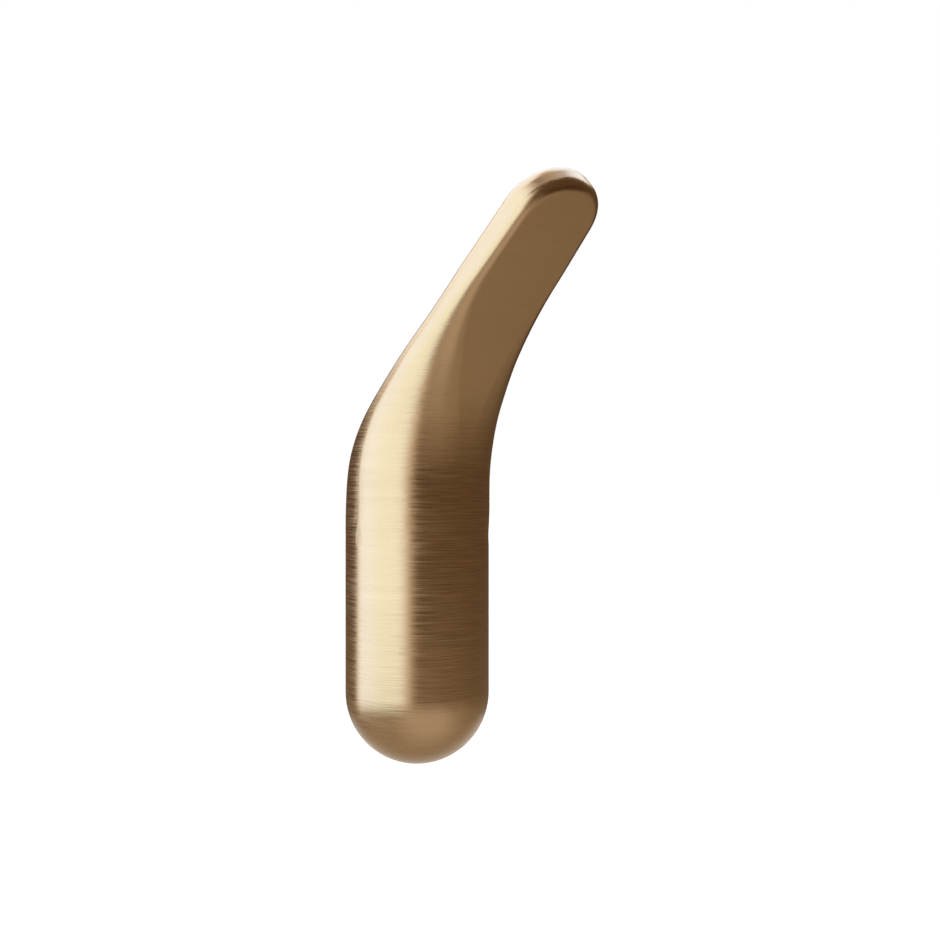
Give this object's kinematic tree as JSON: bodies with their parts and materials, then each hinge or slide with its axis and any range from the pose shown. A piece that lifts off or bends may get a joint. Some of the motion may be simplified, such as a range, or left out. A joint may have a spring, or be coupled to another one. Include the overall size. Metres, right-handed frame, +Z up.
{
  "type": "robe hook",
  "caption": "Wall-mounted robe hook: a round post with a ball end and a flat back flows into a leaning flat tongue with a rounded tip. Concealed bracket, locked by a grub screw from below.",
  "frame": {"origin": "midway between the two wall screws, on the wall plane", "axes": "+Y into the wall, so the hook stands out towards -Y; +Z up; X across the hook, which is symmetric about X = 0"},
  "size_m": [0.025, 0.0483, 0.0973],
  "materials": {
    "brushed_brass": "brushed around the post, satin",
    "bracket_steel": "plain zinc-plated",
    "grub_steel": "plain stainless"
  },
  "bodies": {
    "root": {"hook_body": "brushed_brass", "wall_bracket": "bracket_steel", "grub_screw": "grub_steel"}
  },
  "joints": []
}
